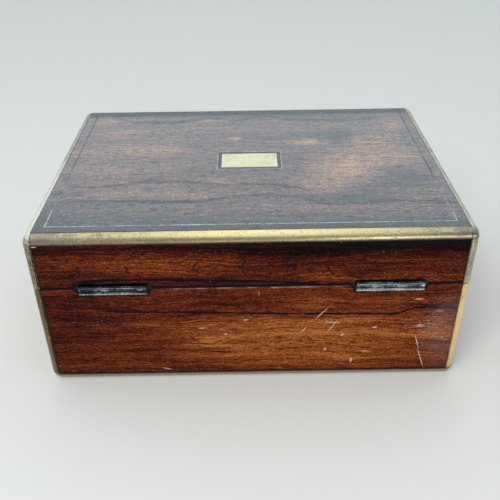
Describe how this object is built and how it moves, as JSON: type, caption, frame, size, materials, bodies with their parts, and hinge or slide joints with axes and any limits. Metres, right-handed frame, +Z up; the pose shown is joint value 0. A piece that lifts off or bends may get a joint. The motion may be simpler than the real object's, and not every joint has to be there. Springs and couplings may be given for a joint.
{
  "type": "stationery box",
  "caption": "Brass-bound rosewood stationery box with a level lid on stop hinges, an inlaid plate and stringing, and a lined interior divided for pens, paper and envelopes.",
  "frame": {"origin": "centre of the underside, where the box rests", "axes": "+X to the right for a person in front of the lock, +Y towards the hinges, +Z up"},
  "size_m": [0.305, 0.2262, 0.128],
  "materials": {
    "rosewood_veneer": "rosewood veneer, french polished, dark figure, fine scratches",
    "carcass_wood": "stained mahogany carcass boards, planed, dull",
    "liner_rosewood": "thin rosewood liner boards, waxed",
    "ebonised_wood": "ebonised hardwood border, polished",
    "moulding_brass": "quarter-round brass, worn and dulled",
    "inlay_brass": "flush brass inlay, rubbed bright with fine scratches",
    "hinge_brass": "tarnished cast brass",
    "lock_brass": "aged sheet brass",
    "lock_steel": "dark filed steel",
    "lining_velvet": "dark green velvet glued on card"
  },
  "bodies": {
    "base": {"base_back_board": "carcass_wood", "base_back_liner": "liner_rosewood", "base_back_veneer": "rosewood_veneer", "base_corner_back_left": "moulding_brass", "base_corner_back_right": "moulding_brass", "base_corner_front_left": "moulding_brass", "base_corner_front_right": "moulding_brass", "base_front_board": "carcass_wood", "base_front_liner": "liner_rosewood", "base_front_veneer": "rosewood_veneer", "base_left_board": "carcass_wood", "base_left_liner": "liner_rosewood", "base_left_veneer": "rosewood_veneer", "base_right_board": "carcass_wood", "base_right_liner": "liner_rosewood", "base_right_veneer": "rosewood_veneer", "base_screws": "hinge_brass", "bottom_back_moulding": "moulding_brass", "bottom_board": "carcass_wood", "bottom_front_moulding": "moulding_brass", "bottom_left_moulding": "moulding_brass", "bottom_right_moulding": "moulding_brass", "envelope_divider": "liner_rosewood", "floor_lining": "lining_velvet", "hinge_left_lower_leaf": "hinge_brass", "hinge_pins": "lock_steel", "hinge_right_lower_leaf": "hinge_brass", "keyhole_escutcheon": "inlay_brass", "lock_case": "lock_brass", "lock_cover": "lock_brass", "pen_divider": "liner_rosewood"},
    "lid": {"hinge_left_upper_leaf": "hinge_brass", "hinge_right_upper_leaf": "hinge_brass", "lid_back_board": "carcass_wood", "lid_back_veneer": "rosewood_veneer", "lid_corner_back_left": "moulding_brass", "lid_corner_back_right": "moulding_brass", "lid_corner_front_left": "moulding_brass", "lid_corner_front_right": "moulding_brass", "lid_front_board": "carcass_wood", "lid_front_veneer": "rosewood_veneer", "lid_left_board": "carcass_wood", "lid_left_veneer": "rosewood_veneer", "lid_liner": "liner_rosewood", "lid_lining_panel": "lining_velvet", "lid_right_board": "carcass_wood", "lid_right_veneer": "rosewood_veneer", "lid_screws": "hinge_brass", "lid_stringing": "inlay_brass", "lid_top_board": "carcass_wood", "lid_top_veneer": "rosewood_veneer", "lock_keep": "lock_brass", "name_plate": "inlay_brass", "plate_border": "ebonised_wood", "plate_line": "inlay_brass", "top_back_moulding": "moulding_brass", "top_front_moulding": "moulding_brass", "top_left_moulding": "moulding_brass", "top_right_moulding": "moulding_brass"},
    "bolt": {"lock_bolt": "lock_steel"}
  },
  "joints": [
    {"name": "lid_hinge", "type": "hinge", "parent": "base", "child": "lid", "pos_m": [0, 0.1126, 0.085], "axis": [-1, 0, 0], "range_deg": [0, 95]},
    {"name": "bolt_slide", "type": "slide", "parent": "base", "child": "bolt", "axis": [1, 0, 0], "range_m": [0, 0.003]}
  ]
}
